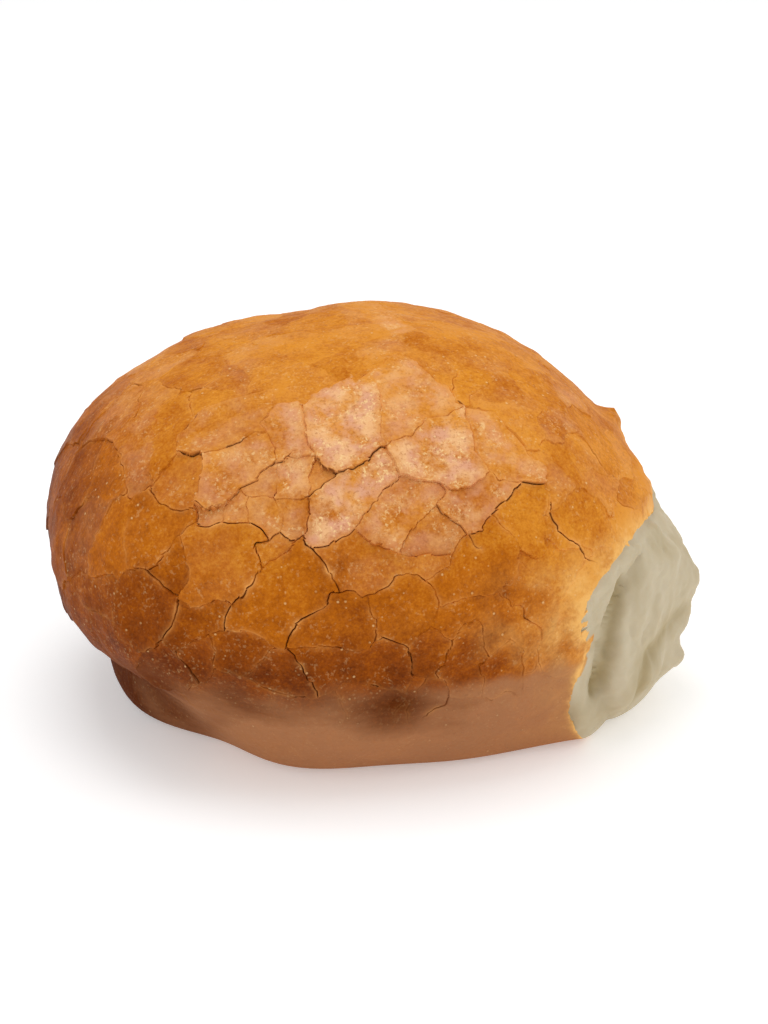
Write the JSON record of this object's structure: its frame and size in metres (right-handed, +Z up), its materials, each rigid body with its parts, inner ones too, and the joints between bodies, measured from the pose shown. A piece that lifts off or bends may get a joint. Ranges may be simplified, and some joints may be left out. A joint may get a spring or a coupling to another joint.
{
  "type": "bread loaf",
  "caption": "Tall round bread loaf baked as one piece, with a flaky cracked crust, a flat base and one front corner torn open to the pale crumb",
  "frame": {"origin": "the point of the flat base under the middle of the loaf's box", "axes": "+X along the loaf towards the torn end, +Y to its back, +Z up from the base"},
  "size_m": [0.2012, 0.1616, 0.1225],
  "materials": {
    "crust": "satin"
  },
  "bodies": {
    "root": {"loaf": "crust"}
  },
  "joints": []
}
